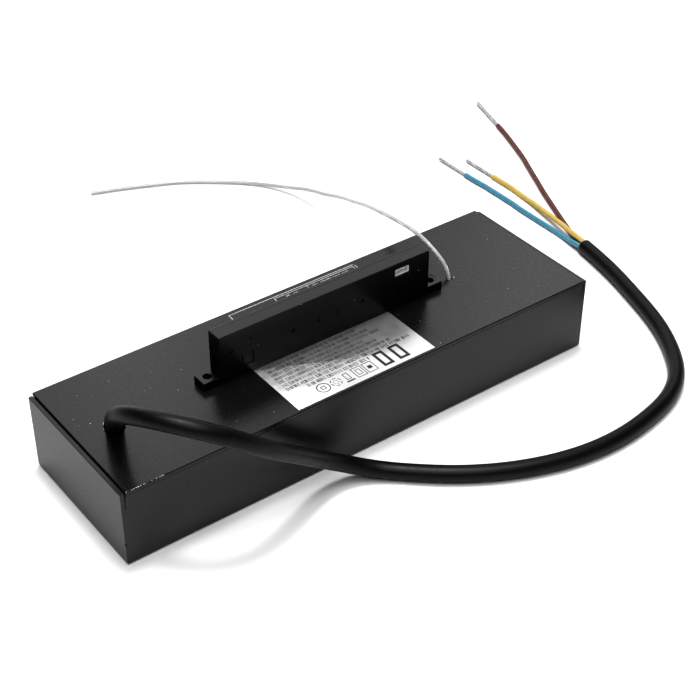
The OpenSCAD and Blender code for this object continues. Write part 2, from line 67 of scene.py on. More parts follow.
# ------------------------------------------------------------------ curves
# Routes in millimetres. The curve is a uniform cubic B-spline on these points,
# carried on in a straight line past both ends.
CABLE = [(-84, 0.5, 29), (-90, -11, 46), (-87.5, -26, 53), (-79, -38.5, 53), (-68, -45.5, 48), (-57, -47, 39),
         (-44, -44, 28), (-31.5, -39.5, 16.5), (-20, -39, 8), (-9, -44.5, 3.1), (0, -53, 3.1), (10.5, -62, 3.1),
         (23, -70, 3.1), (36, -76, 3.1), (49, -80, 3.1), (62, -82, 3.1), (75, -82, 3.1), (88, -80, 3.1),
         (100.5, -77, 3.1), (113, -70, 3.1), (122, -59, 3.1), (129, -47, 3.1), (134, -35, 3.1), (138, -22, 3.1),
         (142, -9, 3.1), (145, 4, 3.1), (147, 16, 3.1)]
CABLE = [Vector(p) for p in CABLE]
LEAD_R, CORE_R = 3.1, 1.1
sheath_end = CABLE[-1]
sheath_dir = (CABLE[-1] - CABLE[-2]).normalized()
sheath_side = sheath_dir.cross(Vector((0, 0, 1))).normalized()


def core_from(deg):
    """Where a core leaves the sheath: the three are laid evenly round its middle."""
    a = math.radians(deg)
    return sheath_end + 0.02 * sheath_dir + 1.34 * (math.cos(a) * sheath_side + math.sin(a) * Vector((0, 0, 1)))


BROWN = [core_from(-57)] + [Vector(p) for p in (
    (149, 21, 1.5), (151.5, 27, 1.1), (154, 34, 1.1), (157, 41, 1.1), (160, 48, 1.1), (163, 55, 1.1), (166, 62, 1.1),
    (169.5, 69, 1.1), (173, 77, 1.1), (177, 85, 1.1), (180.5, 93, 1.1), (183.5, 101, 1.1), (187, 110, 1.1),
    (190, 119.5, 1.1))]
YELLOW = [core_from(63)] + [Vector(p) for p in (
    (148.5, 21, 4), (149, 26, 4), (150, 31, 4), (151, 36, 3.5), (152, 41, 3), (153, 46, 2.5), (154, 51, 2),
    (155, 56, 1.5), (155.5, 61, 1.1), (156, 66, 1.1), (156.5, 71, 1.1), (156.5, 76, 1.1), (156.5, 81, 1.1),
    (156.5, 84.5, 1.1))]
BLUE = [core_from(183)] + [Vector(p) for p in (
    (146, 21, 2.5), (147, 26, 1.5), (147.5, 31, 1.1), (147.5, 36, 1.1), (147.5, 41, 1.1), (147.5, 46, 1.1),
    (147.5, 51, 1.1), (147.5, 56, 1.1), (148, 61, 1.1), (148, 66, 1.1), (148, 71, 1.1), (148, 76, 1.1),
    (148, 81, 1.1), (147.5, 87, 1.1), (147.5, 93, 1.1))]
WIRE = [Vector(p) for p in (
    (59, 0, 29.5), (59, 2, 36.5), (57, 15, 43), (59, 25, 41), (60, 37, 39), (62, 47, 36), (65, 57, 32), (68, 66, 28),
    (70, 75, 24), (73, 84, 20), (75, 93, 16), (76, 102, 12), (77, 111, 9), (77, 120, 6), (75, 129, 3), (71, 138, 1.5),
    (65, 146, 0.8), (57, 153, 0.8), (49, 159, 0.8), (41, 165, 0.8), (32, 169, 0.8), (23, 173, 0.8), (13, 177, 0.8),
    (4, 180, 0.8))]


def curve_at(r, t):
    def at(i):
        if i < 0:
            return 2 * r[0] - r[1]
        if i >= len(r):
            return 2 * r[-1] - r[-2]
        return r[i]
    i = min(int(t), len(r) - 2)
    s = t - i
    return (at(i - 1) * ((1 - s) ** 3 / 6) + at(i) * ((3 * s ** 3 - 6 * s * s + 4) / 6)
            + at(i + 1) * ((-3 * s ** 3 + 3 * s * s + 3 * s + 1) / 6) + at(i + 2) * (s ** 3 / 6))


def even_points(r, step):
    """Points of the route's curve, about step mm apart along it, in mm."""
    dense = [curve_at(r, (len(r) - 1) * k / 4000) for k in range(4001)]
    run = [0.0]
    for a, b in zip(dense, dense[1:]):
        run.append(run[-1] + (b - a).length)
    n = max(2, round(run[-1] / step))
    out, k = [], 0
    for j in range(n + 1):
        want = run[-1] * j / n
        while k < 3999 and run[k + 1] < want:
            k += 1
        f = (want - run[k]) / max(1e-9, run[k + 1] - run[k])
        out.append(dense[k].lerp(dense[k + 1], min(1, max(0, f))))
    return out, run[-1]


def frames(points, first=Vector((0, 0, 1))):
    """A direction and two square axes at each point, turned as little as may be."""
    out, a = [], None
    for k in range(len(points)):
        d = (points[min(k + 1, len(points) - 1)] - points[max(k - 1, 0)]).normalized()
        if a is None:
            a = first if abs(d.dot(first)) < 0.95 else Vector((0, 1, 0))
        a = (a - d * a.dot(d)).normalized()
        out.append((d, a, d.cross(a)))
    return out


def rows_mesh(bm, rows, close=True, cap0=True, cap1=True):
    """Skins rows of points, each a closed ring, into faces."""
    rings = [[bm.verts.new(Vector(p) * MM) for p in row] for row in rows]
    n = len(rings[0])
    for a, b in zip(rings, rings[1:]):
        for j in range(n):
            bm.faces.new((a[j], a[(j + 1) % n], b[(j + 1) % n], b[j]))
    if cap0:
        bm.faces.new(list(reversed(rings[0])))
    if cap1:
        bm.faces.new(rings[-1])
    return rings


def tube_rows(points, fr, radius, sides, turn=0.0):
    out = []
    for k, (p, (d, a, b)) in enumerate(zip(points, fr)):
        r = radius(k) if callable(radius) else radius
        out.append([p + r * (a * math.cos(turn + 2 * math.pi * j / sides) + b * math.sin(turn + 2 * math.pi * j / sides))
                    for j in range(sides)])
    return out


# ------------------------------------------------------------------ materials
def mat(name, color, rough, metallic=0.0, specular=0.5, coat=0.0, coat_rough=0.1, transmission=0.0, ior=1.5,
        tint=None, tint_scale=60.0, tint_low=0.35, tint_high=0.7, rough_add=0.1, rough_scale=400.0,
        bump=0.0, bump_scale=2500.0, bump_detail=3.0, subsurface=0.0):
    """Principled surface whose colour, gloss and relief vary with noise at the object's own scale."""
    mt = bpy.data.materials.new(name)
    mt.use_nodes = True
    nt = mt.node_tree
    b = nt.nodes["Principled BSDF"]
    b.inputs["Metallic"].default_value = metallic
    b.inputs["Specular IOR Level"].default_value = specular
    b.inputs["IOR"].default_value = ior
    b.inputs["Coat Weight"].default_value = coat
    b.inputs["Coat Roughness"].default_value = coat_rough
    b.inputs["Transmission Weight"].default_value = transmission
    tc = nt.nodes.new("ShaderNodeTexCoord")
    # colour
    n1 = nt.nodes.new("ShaderNodeTexNoise")
    n1.inputs["Scale"].default_value = tint_scale
    n1.inputs["Detail"].default_value = 4
    nt.links.new(tc.outputs["Object"], n1.inputs["Vector"])
    ramp = nt.nodes.new("ShaderNodeValToRGB")
    ramp.color_ramp.elements[0].position = tint_low
    ramp.color_ramp.elements[1].position = tint_high
    other = tint if tint else tuple(c * 0.86 for c in color)
    ramp.color_ramp.elements[0].color = (*other, 1)
    ramp.color_ramp.elements[1].color = (*color, 1)
    nt.links.new(n1.outputs["Fac"], ramp.inputs["Fac"])
    nt.links.new(ramp.outputs["Color"], b.inputs["Base Color"])
    # gloss
    n2 = nt.nodes.new("ShaderNodeTexNoise")
    n2.inputs["Scale"].default_value = rough_scale
    n2.inputs["Detail"].default_value = 3
    nt.links.new(tc.outputs["Object"], n2.inputs["Vector"])
    mr = nt.nodes.new("ShaderNodeMapRange")
    mr.inputs["From Min"].default_value = 0.3
    mr.inputs["From Max"].default_value = 0.7
    mr.inputs["To Min"].default_value = max(0.02, rough - rough_add / 2)
    mr.inputs["To Max"].default_value = min(1.0, rough + rough_add / 2)
    nt.links.new(n2.outputs["Fac"], mr.inputs["Value"])
    nt.links.new(mr.outputs["Result"], b.inputs["Roughness"])
    # relief
    if bump:
        n3 = nt.nodes.new("ShaderNodeTexNoise")
        n3.inputs["Scale"].default_value = bump_scale
        n3.inputs["Detail"].default_value = bump_detail
        nt.links.new(tc.outputs["Object"], n3.inputs["Vector"])
        bp = nt.nodes.new("ShaderNodeBump")
        bp.inputs["Strength"].default_value = 1.0
        bp.inputs["Distance"].default_value = bump * MM
        nt.links.new(n3.outputs["Fac"], bp.inputs["Height"])
        nt.links.new(bp.outputs["Normal"], b.inputs["Normal"])
    return mt


def add_specks(mt, scale, radius, share, color=(0.5, 0.5, 0.5), seed=0.0, only=None):
    """Fine light dust: small dots in some of the cells of a cell pattern, mixed over the base colour."""
    nt = mt.node_tree
    b = nt.nodes["Principled BSDF"]
    tc = nt.nodes.new("ShaderNodeTexCoord")
    mp = nt.nodes.new("ShaderNodeMapping")
    mp.inputs["Location"].default_value = (seed, seed * 0.7, seed * 1.3)
    nt.links.new(tc.outputs["Object"], mp.inputs["Vector"])
    v = nt.nodes.new("ShaderNodeTexVoronoi")
    v.inputs["Scale"].default_value = scale
    nt.links.new(mp.outputs["Vector"], v.inputs["Vector"])
    near = nt.nodes.new("ShaderNodeMath")
    near.operation = "LESS_THAN"
    near.inputs[1].default_value = radius * MM * scale
    nt.links.new(v.outputs["Distance"], near.inputs[0])
    sep = nt.nodes.new("ShaderNodeSeparateColor")
    nt.links.new(v.outputs["Color"], sep.inputs["Color"])
    some = nt.nodes.new("ShaderNodeMath")
    some.operation = "LESS_THAN"
    some.inputs[1].default_value = share
    nt.links.new(sep.outputs["Red"], some.inputs[0])
    both = nt.nodes.new("ShaderNodeMath")
    both.operation = "MULTIPLY"
    nt.links.new(near.outputs[0], both.inputs[0])
    nt.links.new(some.outputs[0], both.inputs[1])
    # brightness differs from speck to speck
    vary = nt.nodes.new("ShaderNodeMath")
    vary.operation = "MULTIPLY"
    nt.links.new(both.outputs[0], vary.inputs[0])
    nt.links.new(sep.outputs["Green"], vary.inputs[1])
    mix = nt.nodes.new("ShaderNodeMix")
    mix.data_type = "RGBA"
    link = b.inputs["Base Color"].links[0]
    nt.links.new(link.from_socket, mix.inputs["A"])
    mix.inputs["B"].default_value = (*color, 1)
    nt.links.new(vary.outputs[0], mix.inputs["Factor"])
    nt.links.new(mix.outputs["Result"], b.inputs["Base Color"])


M = {}
M["tray"] = mat("tray_powder_coat", (0.0078, 0.0078, 0.0082), 0.34, specular=0.56, tint_scale=45, rough_add=0.08,
                rough_scale=900, bump=0.012, bump_scale=1900)
add_specks(M["tray"], 620, 0.13, 0.12, seed=0.31)
M["lid"] = mat("lid_powder_coat", (0.009, 0.009, 0.0094), 0.28, specular=0.50, tint_scale=45, rough_add=0.04,
               rough_scale=900, bump=0.0012, bump_scale=1900)
add_specks(M["lid"], 560, 0.15, 0.10, color=(0.45, 0.45, 0.45), seed=0.11)
add_specks(M["lid"], 1000, 0.11, 0.3, color=(0.14, 0.14, 0.14), seed=0.47)
M["plastic"] = mat("adapter_moulding", (0.0020, 0.0020, 0.0021), 0.29, specular=0.56, tint_scale=80, rough_add=0.03,
                   rough_scale=300, bump=0.002, bump_scale=700)
add_specks(M["plastic"], 620, 0.14, 0.12, color=(0.25, 0.25, 0.25), seed=0.23)
M["pin"] = mat("pin_black", (0.008, 0.008, 0.008), 0.3, specular=0.5, bump=0.004, bump_scale=3000)
M["sheath"] = mat("lead_sheath_pvc", (0.0055, 0.0055, 0.0057), 0.42, specular=0.28, tint_scale=120, rough_add=0.08,
                  rough_scale=500, bump=0.012, bump_scale=1300, bump_detail=3)
add_specks(M["sheath"], 900, 0.12, 0.16, color=(0.12, 0.12, 0.12), seed=0.71)
M["filler"] = mat("sheath_inside", (0.012, 0.012, 0.012), 0.6, bump=0.02, bump_scale=1500)
M["brown"] = mat("core_brown_pvc", (0.135, 0.048, 0.042), 0.27, specular=0.28, tint=(0.11, 0.040, 0.034),
                 tint_scale=150, rough_add=0.1, bump=0.006, bump_scale=900)
M["yellow"] = mat("core_yellow_pvc", (0.60, 0.43, 0.125), 0.34, specular=0.4, tint=(0.55, 0.39, 0.105),
                  tint_scale=150, rough_add=0.1, bump=0.006, bump_scale=900)
M["blue"] = mat("core_blue_pvc", (0.085, 0.27, 0.375), 0.28, specular=0.5, tint=(0.070, 0.235, 0.33),
                tint_scale=150, rough_add=0.1, bump=0.006, bump_scale=900)
M["tin"] = mat("tinned_strands", (0.66, 0.65, 0.645), 0.30, metallic=0.45, specular=0.6, tint=(0.40, 0.39, 0.385),
               tint_scale=900, rough_add=0.2, rough_scale=2500, bump=0.01, bump_scale=4000)
M["steel_strand"] = mat("steel_strands", (0.66, 0.67, 0.68), 0.28, metallic=0.7, tint=(0.48, 0.48, 0.49),
                        tint_scale=900, rough_add=0.1, rough_scale=2500, bump=0.004, bump_scale=4000)
M["clear"] = mat("clear_sheath", (0.90, 0.90, 0.90), 0.12, specular=0.5, transmission=0.56, ior=1.46,
                 tint=(0.82, 0.82, 0.82), rough_add=0.05)
M["label"] = mat("label_foil", (0.78, 0.78, 0.785), 0.36, metallic=0.85, specular=0.5, tint=(0.66, 0.66, 0.665),
                 tint_scale=30, rough_add=0.08, rough_scale=300, bump=0.004, bump_scale=1500)
M["ink"] = mat("label_ink", (0.018, 0.018, 0.02), 0.5, tint=(0.03, 0.03, 0.032), tint_scale=700, bump=0.002,
               bump_scale=3000)
M["white_print"] = mat("white_print", (0.62, 0.62, 0.62), 0.5, tint=(0.38, 0.38, 0.38), tint_scale=900,
                       bump=0.002, bump_scale=3000)
# near-white, non-metal colour for the plated contact leaf: a painted highlight standing for the leaf's bright
# reflection in the window
M["contact"] = mat("plated_contact", (0.97, 0.97, 0.965), 0.34, metallic=0.0, specular=0.9, tint=(0.90, 0.90, 0.89),
                   tint_scale=500, rough_add=0.12, rough_scale=900, bump=0.004, bump_scale=2500)
# darker, duller coat for the lid's rounded edges and underside: painted shade for the dark line along the edge and the
# shade under the overhang
M["lid_edge"] = mat("lid_edge_painted_shade", (0.0065, 0.0065, 0.0068), 0.55, specular=0.2, tint_scale=300, rough_add=0.1,
                    bump=0.01, bump_scale=1900)
# bright flakes: real paint wear on the lid's front edge and the adapter, and a painted glint on the cable hole's rim
M["chip"] = mat("bare_chip_and_painted_glint", (0.85, 0.85, 0.85), 0.4, metallic=0.1, tint=(0.6, 0.6, 0.6), tint_scale=3000,
                bump=0.01, bump_scale=5000)

# the pieces inside the housing
M["zinc"] = mat("zinc_plate", (0.60, 0.61, 0.62), 0.32, metallic=1.0, tint=(0.5, 0.51, 0.53), tint_scale=300,
                bump=0.004, bump_scale=2500)
M["black_steel"] = mat("blackened_steel", (0.03, 0.03, 0.03), 0.4, metallic=0.8, tint=(0.05, 0.05, 0.05),
                       tint_scale=400, bump=0.004, bump_scale=2500)
M["board"] = mat("board_mask", (0.02, 0.11, 0.045), 0.35, specular=0.5, coat=0.3, tint=(0.015, 0.08, 0.035),
                 tint_scale=250, bump=0.006, bump_scale=900)
M["board_tan"] = mat("board_tan", (0.36, 0.27, 0.11), 0.5, tint=(0.28, 0.2, 0.08), tint_scale=250, bump=0.006)
M["brass"] = mat("turned_brass", (0.62, 0.47, 0.2), 0.3, metallic=1.0, bump=0.004)
M["film"] = mat("liner_film", (0.7, 0.7, 0.62), 0.35, transmission=0.3, bump=0.006, bump_scale=300)
M["terminal"] = mat("terminal_green", (0.03, 0.2, 0.06), 0.45, bump=0.008)
M["copper"] = mat("copper_winding", (0.45, 0.14, 0.03), 0.3, metallic=0.7, tint=(0.3, 0.08, 0.02),
                  tint_scale=900, bump=0.05, bump_scale=1500)
M["cap_box"] = mat("capacitor_box", (0.78, 0.58, 0.05), 0.35, bump=0.008)
M["black_part"] = mat("component_black", (0.012, 0.012, 0.012), 0.45, bump=0.01)
M["sleeve"] = mat("capacitor_sleeve", (0.012, 0.014, 0.035), 0.28, bump=0.006)
M["ferrite"] = mat("ferrite", (0.04, 0.04, 0.043), 0.55, tint=(0.06, 0.06, 0.06), tint_scale=900, bump=0.02)
M["tape"] = mat("winding_tape", (0.68, 0.42, 0.02), 0.3, coat=0.2, bump=0.01, bump_scale=500)
M["aluminium"] = mat("extruded_aluminium", (0.62, 0.63, 0.64), 0.35, metallic=1.0, bump=0.006, bump_scale=1200)
M["nylon"] = mat("clamp_nylon", (0.68, 0.68, 0.62), 0.45, subsurface=0.1, bump=0.01)
M["red"] = mat("lead_red", (0.45, 0.02, 0.015), 0.35, bump=0.006)


def paint(names, key):
    for n in names.split():
        o = nodes[n]
        o.data.materials.clear()
        o.data.materials.append(M[key])


paint("base_tray lid_plate", "tray")
paint("lid_pillars board_screws transistor_screw clamp_screws wire_stop", "zinc")
paint("lid_screws adapter_screws", "black_steel")
paint("rating_label", "label")
paint("adapter_body adapter_back_cover", "plastic")
paint("adapter_pins", "pin")
paint("adapter_board", "board")
paint("driver_board", "board_tan")
paint("front_contact rear_contact", "contact")
paint("output_lead_red", "red")
paint("output_lead_black fuse mains_lead_inside mains_lead", "sheath")
paint("board_spacers", "brass")
paint("insulating_liner", "film")
paint("input_terminal", "terminal")
paint("line_choke", "copper")
paint("filter_capacitor", "cap_box")
paint("bridge_rectifier power_transistor", "black_part")
paint("bulk_capacitor output_capacitors", "sleeve")
paint("transformer_core", "ferrite")
paint("transformer_winding", "tape")
paint("heatsink", "aluminium")
paint("output_choke", "copper")
paint("clamp_base clamp_bridge", "nylon")
paint("inner_core_brown core_brown", "brown")
paint("inner_core_blue core_blue", "blue")
paint("inner_core_earth core_yellow", "yellow")
paint("wire_inside thin_wire", "steel_strand")
paint("strands_brown strands_yellow strands_blue", "tin")


# ------------------------------------------------------------------ meshes
def finish_mesh(name, bm, material, angle=35, ride=True, flat_faces=False):
    """Makes the object. With flat_faces its large faces keep their own normals, so they shade flat up to the rounded edges."""
    bmesh.ops.recalc_face_normals(bm, faces=bm.faces)
    me = bpy.data.meshes.new(name)
    bm.to_mesh(me)
    bm.free()
    me.polygons.foreach_set("use_smooth", [True] * len(me.polygons))
    me.set_sharp_from_angle(angle=math.radians(angle))
    me.materials.append(M[material] if isinstance(material, str) else material)
    o = bpy.data.objects.new(name, me)
    scene.collection.objects.link(o)
    if flat_faces:
        md = o.modifiers.new("normals", "WEIGHTED_NORMAL")
        md.mode, md.weight, md.keep_sharp = "FACE_AREA", 100, True
        bpy.context.view_layer.update()
        made = bpy.data.meshes.new_from_object(o.evaluated_get(bpy.context.evaluated_depsgraph_get()))
        o.modifiers.clear()
        o.data = made
        bpy.data.meshes.remove(me)
        made.name = name
    if ride:
        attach(o, "root")
    return o


def rounded_plan(u0, u1, v0, v1, radii, seg, inset):
    """A rectangle's outline with round corners, drawn in by inset. radii start at u0 v0 and go round."""
    out = []
    corners = [(u0, v0, 180), (u1, v0, 270), (u1, v1, 0), (u0, v1, 90)]
    for (cu, cv, a0), r in zip(corners, radii):
        r = max(r - inset, 0.02)
        su, sv = (1 if cu == u0 else -1), (1 if cv == v0 else -1)
        ou, ov = cu + su * (inset + r), cv + sv * (inset + r)
        for k in range(seg + 1):
            a = math.radians(a0 + 90 * k / seg)
            out.append((ou + r * math.cos(a), ov + r * math.sin(a)))
    return out


def block(bm, lo, hi, rc=0.3, r0=0.2, r1=0.2, axis="z", seg=4, eseg=4):
    """A block whose outline has corner radius rc (one number or four), with edges rounded by r0 at the low end and r1 at the high end of axis."""
    radii = [rc] * 4 if isinstance(rc, (int, float)) else rc
    k = "xyz".index(axis)
    iu, iv = [(1, 2), (2, 0), (0, 1)][k]
    w0, w1 = lo[k], hi[k]
    levels = []
    for j in range(eseg + 1) if r0 > 0 else [eseg]:
        a = math.pi / 2 * j / eseg
        levels.append((w0 + r0 * (1 - math.cos(a)), r0 * (1 - math.sin(a))))
    for j in range(eseg, -1, -1) if r1 > 0 else [eseg]:
        a = math.pi / 2 * j / eseg
        levels.append((w1 - r1 * (1 - math.cos(a)), r1 * (1 - math.sin(a))))
    rows = []
    for w, inset in levels:
        row = []
        for u, v in rounded_plan(lo[iu], hi[iu], lo[iv], hi[iv], radii, seg, inset):
            p = [0, 0, 0]
            p[k], p[iu], p[iv] = w, u, v
            row.append(Vector(p))
        rows.append(row)
    rows_mesh(bm, rows)


def cyl(bm, at, axis, r, length, r2=None, sides=40):
    """A cylinder or cone from at along axis ('x', '-y', ...)."""
    d = Vector({"x": (1, 0, 0), "y": (0, 1, 0), "z": (0, 0, 1)}[axis[-1]]) * (-1 if axis[0] == "-" else 1)
    q = d.to_track_quat("Z", "Y").to_matrix()
    r2 = r if r2 is None else r2
    rows = []
    for h, rr in ((0, r), (length, r2)):
        rows.append([Vector(at) + q @ Vector((rr * math.cos(2 * math.pi * j / sides), rr * math.sin(2 * math.pi * j / sides), h)) for j in range(sides)])
    rows_mesh(bm, rows)


def plain_box(bm, lo, hi):
    rows = [[Vector((x, y, z)) for x, y in ((lo[0], lo[1]), (hi[0], lo[1]), (hi[0], hi[1]), (lo[0], hi[1]))] for z in (lo[2], hi[2])]
    rows_mesh(bm, rows)


def temp(bm):
    bmesh.ops.recalc_face_normals(bm, faces=bm.faces)
    me = bpy.data.meshes.new("tmp")
    bm.to_mesh(me)
    bm.free()
    o = bpy.data.objects.new("tmp", me)
    scene.collection.objects.link(o)
    return o


def combine(name, base_bm, cuts=(), adds=(), material="tray", angle=35):
    """base plus adds, less cuts, as one mesh with the booleans already applied."""
    base = temp(base_bm)
    tools = []
    for bm, op in [(b, "UNION") for b in adds] + [(b, "DIFFERENCE") for b in cuts]:
        t = temp(bm)
        tools.append(t)
        md = base.modifiers.new("b", "BOOLEAN")
        md.operation, md.solver, md.object = op, "EXACT", t
        md.use_self = op == "DIFFERENCE"
    bpy.context.view_layer.update()
    dg = bpy.context.evaluated_depsgraph_get()
    me = bpy.data.meshes.new_from_object(base.evaluated_get(dg))
    for o in tools + [base]:
        old = o.data
        bpy.data.objects.remove(o)
        bpy.data.meshes.remove(old)
    bm = bmesh.new()
    bm.from_mesh(me)
    bpy.data.meshes.remove(me)
    bmesh.ops.remove_doubles(bm, verts=bm.verts, dist=1e-7)
    bmesh.ops.dissolve_degenerate(bm, edges=bm.edges, dist=1e-7)
    return finish_mesh(name, bm, material, angle, flat_faces=True)


def new():
    return bmesh.new()


def cutter(fn):
    bm = new()
    fn(bm)
    return bm


# ---- tray: one folded sheet
def tray_outer(bm):
    levels = []
    for j in range(9):
        a = math.pi / 2 * j / 8
        levels.append((1.15 * (1 - math.cos(a)), 1.15 * (1 - math.sin(a))))
    for j in range(3, -1, -1):
        a = math.pi / 2 * j / 3
        levels.append((30.2 - 0.2 * (1 - math.cos(a)), 0.2 * (1 - math.sin(a))))
    rows = []
    for z, inset in levels:
        rows.append([Vector((u, v, z)) for u, v in rounded_plan(-100, 100, -30.8, 30.8, [0.35 + (inset if z < 3 else 0)] * 4, 4, inset)])
    rows_mesh(bm, rows)


tray_cuts = [
    cutter(lambda b: block(b, (-98.5, -29.3, 1.5), (98.5, 29.3, 40), rc=0.4, r0=0.35, r1=0)),
    cutter(lambda b: plain_box(b, (-98.5, -32, 29.5), (98.5, 32, 33))),
]
for sx in (-1, 1):
    for sy in (-1, 1):
        x = sx * 98.5
        tray_cuts.append(cutter(lambda b, x=x, sy=sy: plain_box(b, (x - 0.13, min(sy * 30.3, sy * 31.2), 23.6), (x + 0.13, max(sy * 30.3, sy * 31.2), 31))))
        tray_cuts.append(cutter(lambda b, x=x, sy=sy: plain_box(b, (x - 0.2, min(sy * 30.3, sy * 31.2), 27.2), (x + 0.2, max(sy * 30.3, sy * 31.2), 31))))
        tray_cuts.append(cutter(lambda b, sx=sx, sy=sy: cyl(b, (sx * 91, sy * 23.5, -1), "z", 1.7, 4)))
        tray_cuts.append(cutter(lambda b, sx=sx, sy=sy: cyl(b, (sx * 91, sy * 23.5, -0.01), "z", 3.0, 1.3, 1.7)))


def rim_round(bm, s, r):
    """What is taken off the outer upper edge of a long wall to round it."""
    prof = [(30.9, 29.7), (30.9, 29.5 - r), (30.8, 29.5 - r)]
    for k in range(1, 7):
        a = math.pi / 2 * k / 6
        prof.append((30.8 - r + r * math.cos(a), 29.5 - r + r * math.sin(a)))
    prof.append((30.8 - r, 29.7))
    rows_mesh(bm, [[Vector((x, s * y, z)) for y, z in prof] for x in (-98.4, 98.4)])


for s in (-1, 1):
    tray_cuts.append(cutter(lambda b, s=s: rim_round(b, s, 0.8)))


def nick(bm, at, r, h):
    rows_mesh(bm, [[Vector(at) + Vector((f * r * math.cos(a), f * r * math.sin(a), g * h)) for a in (0.3, 1.4, 2.6, 3.7, 4.9, 5.8)]
                   for g, f in ((-1, 0.15), (-0.2, 1), (0.35, 0.8), (1, 0.1))])


tray_cuts.append(cutter(lambda b: nick(b, (-100.0, -30.8, 8.9), 0.75, 0.7)))
bm = new()
tray_outer(bm)
tray = combine("tray_shell", bm, tray_cuts, material="tray")
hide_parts("base_tray")

# ---- lid
def oval(cx, cy, dx, dy, r, h, grow=0.0, seg=24):
    """Outline of an oval hole: half width r, its two ends h either side of the middle along dx dy."""
    n = math.hypot(dx, dy)
    ux, uy = dx / n, dy / n
    a0 = math.atan2(uy, ux)
    out = []
    for side in (1, -1):
        for k in range(seg + 1):
            a = a0 + (0 if side == 1 else math.pi) - math.pi / 2 + math.pi * k / seg
            out.append((cx + side * h * ux + (r + grow) * math.cos(a), cy + side * h * uy + (r + grow) * math.sin(a)))
    return out


def oval_cut(bm, at, dx, dy, r, h, levels):
    rows_mesh(bm, [[Vector((x, y, z)) for x, y in oval(at[0], at[1], dx, dy, r, h, grow)] for z, grow in levels])


LEAD_HOLE = ((-84.5, -0.5), -5.5, -11.2, 3.45, 1.3)
WIRE_HOLE = ((59.0, 0.35), 0, 1, 1.0, 0.3)
lid_cuts = [
    cutter(lambda b: oval_cut(b, *LEAD_HOLE, [(28, 0), (30.85, 0), (31.0, 0.12), (31.2, 0.3)])),
    cutter(lambda b: oval_cut(b, *WIRE_HOLE, [(28, 0), (30.9, 0), (31.0, 0.08), (31.2, 0.2)])),
    cutter(lambda b: plain_box(b, (0.6 - 8, -1.5, 28), (0.6 + 8, 1.5, 33))),
]
for s in (-1, 1):
    lid_cuts.append(cutter(lambda b, s=s: cyl(b, (0.6 + s * 24, 0, 28), "z", 1.2, 4)))
    lid_cuts.append(cutter(lambda b, s=s: cyl(b, (0.6 + s * 48.6, 0, 28), "z", 1.6, 4)))
bm = new()
block(bm, (-98.2, -31.3, 29.5), (98.2, 31.3, 31.0), rc=0.35, r0=0.2, r1=0.3, eseg=5)
lid = combine("lid_shell", bm, lid_cuts, material="lid")
# the rounded edge faces and the underside take the second slot, the painted-shade coat
lid.data.materials.append(M["lid_edge"])
for f in lid.data.polygons:
    c = f.center / MM
    if 0.15 < f.normal.z < 0.97 and (abs(c.y) > 30.9 or abs(c.x) > 97.8) or f.normal.z < -0.15:
        f.material_index = 1
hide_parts("lid_plate")


# ---- adapter
PINS = [(-40.4, 42.9), (-15.1, 40.8), (15.1, 40.8), (40.4, 42.9)]
MARKS = [(-32.5, 45.1), (-4.1, 40.4), (4.1, 40.4)]
BX = 0.6


def tongue_cuts(y0, y1):
    out = []
    for s in (-1, 1):
        c = BX + s * 33.9
        for e in (-2.4, 2.0):
            out.append(cutter(lambda b, c=c, e=e: plain_box(b, (c + e, y0, 35.4), (c + e + 0.4, y1, 39.6))))
        out.append(cutter(lambda b, c=c: plain_box(b, (c - 2.4, y0, 35.0), (c + 2.4, y1, 35.4))))
    return out


cuts = tongue_cuts(-4.2, -1.2)
cuts.append(cutter(lambda b: block(b, (BX - 45.25 + 1.6, -1.9, 35.4), (BX + 45.25 - 1.6, 4, 48.9), rc=0.3, r0=0, r1=0, axis="y")))
for s in (-1, 1):
    cuts.append(cutter(lambda b, s=s: block(b, (BX + s * 45.25 - 0.8, -1.8, 35.2), (BX + s * 45.25 + 0.8, 1.4, 41.2), rc=0.15, r0=0, r1=0, axis="x")))
    cuts.append(cutter(lambda b, s=s: cyl(b, (BX + s * 48.6, 0, 30), "z", 1.6, 6)))
    cuts.append(cutter(lambda b, s=s: cyl(b, (BX + s * 24, 0, 30), "z", 1.0, 4)))
cuts.append(cutter(lambda b: block(b, (30.1, -4.2, 44.5), (37.2, -1.2, 47.9), rc=0.25, r0=0, r1=0, axis="y")))
for x, z in PINS:
    cuts.append(cutter(lambda b, x=x, z=z: cyl(b, (BX + x, -4.2, z), "y", 0.8, 7, sides=24)))
for x, z in MARKS:
    cuts.append(cutter(lambda b, x=x, z=z: cyl(b, (BX + x, -4.2, z), "y", 0.45, 1.3, sides=20)))
cuts.append(cutter(lambda b: plain_box(b, (BX - 8, -1.5, 30), (BX + 8, 1.5, 36))))
bm = new()
block(bm, (BX - 45.25, -3.2, 31.0), (BX + 45.25, 2.0, 50.3), rc=[0.05, 0.3, 0.7, 0.05], r0=0.22, r1=0.08, axis="y", seg=5)
ears = new()
block(ears, (BX - 52, -3.2, 31.0), (BX + 52, 3.2, 34.2), rc=0.35, r0=0.05, r1=0.25)
body = combine("adapter_front_half", bm, cuts, adds=[ears], material="plastic")
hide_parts("adapter_body")

